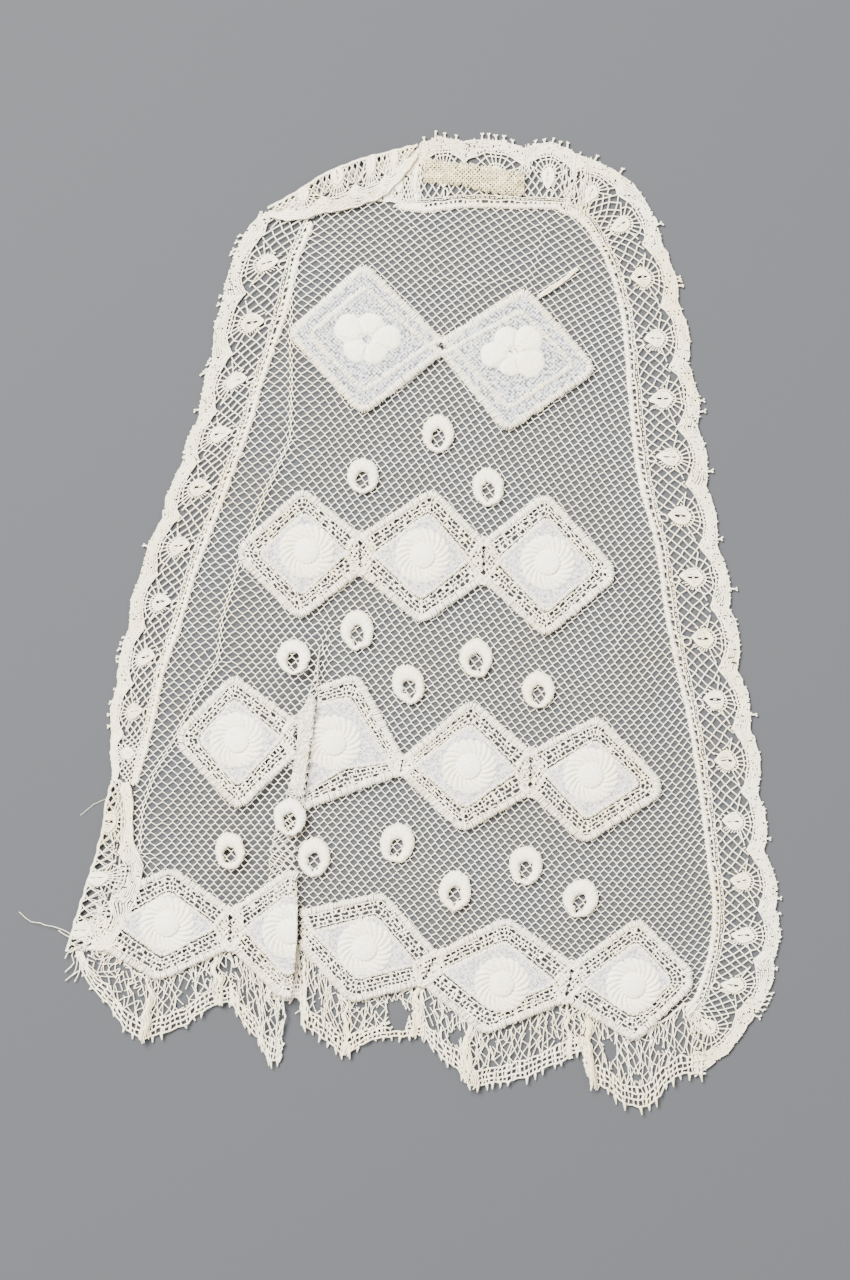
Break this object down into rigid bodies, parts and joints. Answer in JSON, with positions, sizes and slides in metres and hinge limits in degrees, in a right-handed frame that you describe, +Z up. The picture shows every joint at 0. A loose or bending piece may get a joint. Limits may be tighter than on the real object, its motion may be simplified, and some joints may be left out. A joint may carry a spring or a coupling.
{
  "type": "jabot",
  "caption": "Lace jabot laid flat: a pleated net ground with applied lawn lozenges, eyelet rings, a scalloped edging and a gathered frill along its hem.",
  "frame": {"origin": "centre of the jabot's outline on the surface that it lies on", "axes": "+X to the right and +Y towards the neck as it is seen laid out, +Z up from the surface"},
  "size_m": [0.2066, 0.282, 0.006],
  "materials": {
    "net": "fine cotton machine net, cream, matt",
    "lace": "scalloped cotton lace edging and frill, cream, matt",
    "cord": "whipped cotton cord over the joins, cream",
    "tape": "worn yellowed cotton tape",
    "lawn": "fine white lawn with cream cord borders, drawn work and raised embroidery",
    "stitch": "satin stitch in soft cotton thread, slight sheen"
  },
  "bodies": {
    "root": {"net_ground": "net", "edging_top": "lace", "edging_right": "lace", "edging_left": "lace", "edging_top_left_fold": "lace", "edging_left_lower_fold": "lace", "frill_left": "lace", "frill_fold": "lace", "frill_under": "lace", "frill_middle": "lace", "frill_right": "lace", "frill_corner": "lace", "seam_cord_left": "cord", "seam_cord_top": "cord", "seam_cord_right": "cord", "neck_tape": "tape", "lozenge_1_left": "lawn", "lozenge_1_right": "lawn", "lozenge_2_left": "lawn", "lozenge_2_middle": "lawn", "lozenge_2_right": "lawn", "lozenge_3_left": "lawn", "lozenge_3_fold": "lawn", "lozenge_3_pleat": "lawn", "lozenge_3_middle": "lawn", "lozenge_3_right": "lawn", "lozenge_4_left": "lawn", "lozenge_4_fold": "lawn", "lozenge_4_pleat": "lawn", "lozenge_4_middle": "lawn", "lozenge_4_right": "lawn", "eyelet_ring_01": "stitch", "eyelet_ring_02": "stitch", "eyelet_ring_03": "stitch", "eyelet_ring_04": "stitch", "eyelet_ring_05": "stitch", "eyelet_ring_06": "stitch", "eyelet_ring_07": "stitch", "eyelet_ring_08": "stitch", "eyelet_ring_09": "stitch", "eyelet_ring_10": "stitch", "eyelet_ring_11": "stitch", "eyelet_ring_12": "stitch", "eyelet_ring_13": "stitch", "eyelet_ring_14": "stitch", "eyelet_ring_15": "stitch"}
  },
  "joints": []
}
